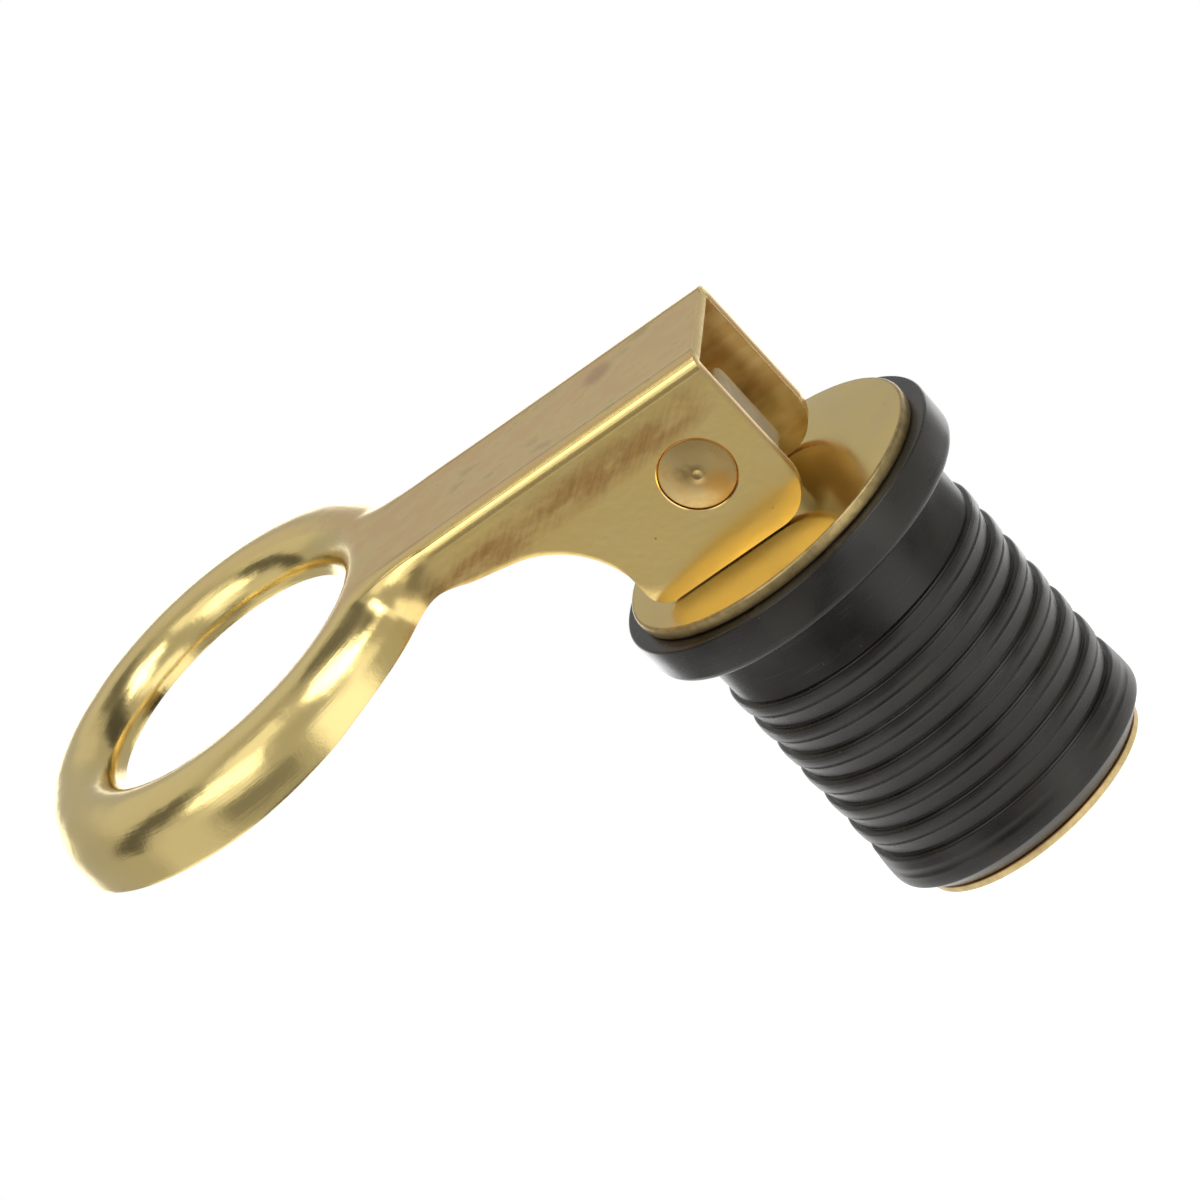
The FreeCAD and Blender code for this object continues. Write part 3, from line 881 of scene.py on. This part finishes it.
# brass rivet, headed cold and burnished: clean in the dish, greyer towards the middle, and painted
# reflections on the
# head: an orange band round its edge, an orange glow low on its face and a dark patch above the middle
def headedBrass():
    material, add, coords, noise = startMaterial("headedBrassRivet", headNoise)
    d = rivet
    axisShift = (-d["x"] * mm, 0, -d["z"] * mm)
    axisPlace = add("Mapping", {"Vector": coords, "Location": axisShift, "Scale": (1, 0, 1)})
    radius = add("VectorMath", {0: axisPlace}, "Value", operation="LENGTH")
    # painted reflection: an orange band round the head's edge
    edge = add("MapRange", {0: radius, **span(d["head"] - 0.2, d["head"] - 0.05), 3: 0, 4: 0.8})
    # greyer and darker towards the middle of the head
    greyerMiddle = add("MapRange", {0: radius, **span(0.6, 2.2), 3: 0.75, 4: 0.1}, **eased)
    warm = add("MapRange", {0: noise["cloud"], 1: 0.42, 2: 0.66, 3: 0, 4: 0.6})
    # painted reflection: a dark, patchy spot above the middle of the head
    smudgeAndPaintedShade = softSpot(add, coords, (d["x"] - 0.5, -d["face"], d["z"] + 0.7), 0.3, 1.5, 0.7)
    patchy = add("MapRange", {0: noise["cloud"], 1: 0.35, 2: 0.55})
    smudgeAndPaintedShade = add("Math", {0: smudgeAndPaintedShade, 1: patchy}, **product)
    # painted reflection: an orange glow low on the head's face, standing in for the brass washer below it
    rubAndPaintedGlow = softSpot(add, coords, (d["x"] + 0.9, -d["face"], d["z"] - 1.7), 0.4, 1.9, 0.75)
    colour = layTones(add, "#DCC083", [(warm, "#D3A65C"), (greyerMiddle, "#C2A66E"), (rubAndPaintedGlow, "#CC9440"),
                                        (smudgeAndPaintedShade, "#8C7044"), (edge, "#B4742C")])
    rough = add("MapRange", {0: noise["cloud"], 1: 0.3, 2: 0.7, 3: 0.2, 4: 0.28})
    endMaterial(add, colour, rough, noise["grain"], 0.0000018, Metallic=1.0)
    return material


rubberNoise = {"lines": ((14, 14, 0.16), 3, 0.6), "rub": ((5, 5, 0.22), 4, 0.65, 2, 5, 3),
               "cloud": ((4.5, 4.5, 4.5), 4, 0.55), "bloom": ((9, 9, 9), 2, 0.5),
               "grain": ((0.13, 0.13, 0.13), 2, 0.6)}


# black nitrile rubber, compression moulded: near black with a soft sheen, greenish and brownish clouds of
# bloom, fine lines round it from the turned mould, rubbed streaks, and a little dust
def mouldedRubber():
    material, add, coords, noise = startMaterial("mouldedRubber", rubberNoise)
    rubAndPaintedGlow = add("MapRange", {0: noise["rub"], 1: 0.62, 2: 0.76, 3: 0, 4: 0.45})
    brownish = add("MapRange", {0: noise["cloud"], 1: 0.38, 2: 0.68})
    greenish = add("MapRange", {0: noise["bloom"], 1: 0.48, 2: 0.66, 3: 0, 4: 0.8})
    colour = layTones(add, "#171411", [(brownish, "#25211B"), (greenish, "#2F2D26"), (rubAndPaintedGlow, "#5E5A50"),
                                        (roundSpots(add, coords, 2.1, 0.08, 0.16), "#C9C5B8"),
                                        (roundSpots(add, coords, 1.1, 0.04, 0.2), "#9A968A")])
    rough = add("MapRange", {0: noise["cloud"], 1: 0.3, 2: 0.7, 3: 0.2, 4: 0.34})
    rough = add("Math", {0: rubAndPaintedGlow, 1: 0.2, 2: rough}, **scaledSum)
    height = add("Math", {0: noise["lines"], 1: 2.0, 2: noise["grain"]}, **scaledSum)
    endMaterial(add, colour, rough, height, 0.000004, IOR=1.42)
    return material


brassSheet = drawnBrass()
topPlate = turnedBrass("turnedBrassPlate", plates["top"])
bottomPlate = turnedBrass("turnedBrassFoot", plates["foot"])
brassBar = milledBrass()
rivetFinish = headedBrass()
rubberFinish = mouldedRubber()
print("finishes made")

rubberStopper = makeRubber()
print("rubber stopper turned")
topWasher = makeWasher("topWasher", washers["top"])
bottomWasher = makeWasher("bottomWasher", washers["bottom"])
print("washers turned")
stemPiece = makeStem()
lockNut = makeNut()
pivotRivet = makeRivet()
print("stem, nut and rivet made")
leverPiece = makeLever()
print("lever pressed:", len(leverPiece.data.polygons), "faces")

finishPiece(topWasher, "stopper", "brass", "top_washer", material=topPlate)
finishPiece(bottomWasher, "foot", "brass", "bottom_washer", material=bottomPlate)
finishPiece(stemPiece, "spindle", "brass", "stem", material=brassBar)
finishPiece(lockNut, "spindle", "brass", "lock_nut", material=brassBar)
finishPiece(pivotRivet, "handle", "brass", "pivot_rivet", material=rivetFinish)
finishPiece(leverPiece, "handle", "brass", "lever", material=brassSheet)
dress(rubberStopper, rubberFinish)
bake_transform(rubberStopper)
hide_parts("rubber_stopper")


# studio: a small pale floor inside a tent of plain light, with softboxes and dark flags on its wall

# the camera's place in metres, the directions of its picture, and its lens in mm
view = {"place": (0.3728, -0.9517, 0.3876), "right": (0.76792, 0.05825, -0.63789),
        "down": (-0.53336, -0.49331, -0.68714), "forward": (-0.35470, 0.86790, -0.34776), "lens": 411.35,
        "sensor": 36, "clip": (0.05, 20)}


def makeCamera():
    data = bpy.data.cameras.new("camera")
    camera = bpy.data.objects.new("camera", data)
    bpy.context.scene.collection.objects.link(camera)
    right, down, forward = (Vector(view[k]) for k in ("right", "down", "forward"))
    turn = Matrix((right, -down, -forward)).transposed()
    camera.matrix_world = Matrix.Translation(Vector(view["place"])) @ turn.to_4x4()
    data.lens = view["lens"]
    data.sensor_width = view["sensor"]
    data.clip_start, data.clip_end = view["clip"]
    bpy.context.scene.camera = camera


# sizes in metres
studio = {"floor": -0.06, "floorSize": 0.22, "floorColour": "#DEDDDA", "floorLift": 0.6, "roomLevel": 0.5,
          "tent": 1.25}

# azimuths and elevations in degrees as seen from the part, how soft the ends are, and the light's level
panels = {
    "farWall": ((66, 190), (28, 66), 12, 0.68),
    "ceiling": ((-158, -66), (62, 95), 10, 1.15),
    "keyFoot": ((-27, -4), (16, 44), 8, 1.2),
    "keyBox": ((-27, 8), (40, 66), 9, 4.2),
    "keyTop": ((-38, 19), (55, 73), 9, 3.4),
    "lowKeyBox": ((-58, -18), (-34, 26), 16, 1.5),
    "fillFoot": ((-126, -88), (17, 40), 8, 1.05),
    "fillBox": ((-139, -88), (35, 61), 9, 2.2),
    "gap": ((-150, -128), (61, 65), 3, 0.25),
    "leftFlag": ((-190, -160), (8, 58), 8, 0.12),
    "leftFlagTop": ((-170, -149), (32, 58), 8, 0.14),
    "lowLeftWall": ((-155, -120), (-40, 28), 9, 0.72),
    "rightFlag": ((14, 50), (8, 58), 8, 0.08),
    "topFlag": ((38, 100), (52, 72), 8, 0.16),
    "lowFlag": ((-116, -72), (-14, 13), 10, 0.26),
    "floorGlow": ((-178, -112), (-62, -25), 6, 1.4),
    "underFlag": ((-102, -60), (-65, -24), 8, 0.15),
    "backdrop": ((76, 148), (-34, 6), 6, 2.0),
}


# light behind Is Camera, Is Glossy and Is Transmission Ray, so that the picture's background and what metal
# shows of it are white
def seenShare(add):
    seen = add("LightPath", {}, "Is Camera Ray")
    for kind in ("Is Glossy Ray", "Is Transmission Ray"):
        seen = add("Math", {0: seen, 1: add("LightPath", {}, kind)}, operation="MAXIMUM")
    return seen


def makeFloor():
    d = studio
    bpy.ops.object.select_all(action="DESELECT")
    bpy.ops.mesh.primitive_plane_add(size=d["floorSize"], location=(0, 0, d["floor"]))
    floor = bpy.context.object
    floor.name = "floor"
    bpy.ops.object.transform_apply(location=True, rotation=True, scale=True)
    material = bpy.data.materials.new("paleFloor")
    add = openTree(material)
    soft = add("BsdfDiffuse", {"Color": linear(d["floorColour"])})
    lift = add("Emission", {"Color": (1, 1, 1, 1), "Strength": d["floorLift"]})
    both = add("AddShader", {0: soft, 1: lift})
    mixed = add("MixShader", {0: seenShare(add), 1: soft, 2: both})
    add("OutputMaterial", {"Surface": mixed})
    dress(floor, material)


def makeWorld():
    world = bpy.data.worlds.new("studio")
    bpy.context.scene.world = world
    add = openTree(world)
    room = add("Background", {"Color": (1, 1, 1, 1), "Strength": studio["roomLevel"]})
    white = add("Background", {"Color": (1, 1, 1, 1), "Strength": 1.0})
    mixed = add("MixShader", {0: seenShare(add), 1: room, 2: white})
    add("OutputWorld", {"Surface": mixed})


# how far a panel from low to high, with soft ends, covers an angle, 0 to 1
def panelShare(angle, low, high, soft):
    return smooth((angle - low) / soft + 0.5) * smooth((high - angle) / soft + 0.5)


def makeTent():
    bpy.ops.object.select_all(action="DESELECT")
    bpy.ops.mesh.primitive_uv_sphere_add(segments=120, ring_count=60, radius=studio["tent"])
    tent = bpy.context.object
    tent.name = "lightTent"
    bpy.ops.object.mode_set(mode="EDIT")
    bpy.ops.mesh.flip_normals()
    bpy.ops.object.mode_set(mode="OBJECT")
    glow = tent.data.attributes.new("glow", "FLOAT", "POINT")
    for i, vert in enumerate(tent.data.vertices):
        az = math.degrees(math.atan2(vert.co.y, vert.co.x))
        el = math.degrees(math.asin(max(-1.0, min(1.0, vert.co.z / studio["tent"]))))
        level = studio["roomLevel"]
        for azimuths, elevations, soft, light in panels.values():
            share = panelShare(az, *azimuths, soft) * panelShare(el, *elevations, soft)
            level += (light - level) * share
        glow.data[i].value = level
    material = bpy.data.materials.new("tentLight")
    add = openTree(material)
    level = add("Attribute", {}, "Fac", attribute_name="glow")
    light = add("Emission", {"Color": (1, 1, 1, 1), "Strength": level})
    add("OutputMaterial", {"Surface": light})
    dress(tent, material)
    tent.visible_camera = False
    tent.visible_shadow = False


makeCamera()
makeFloor()
makeWorld()
makeTent()
print("studio set")

bpy.context.scene.view_settings.view_transform = "Standard"
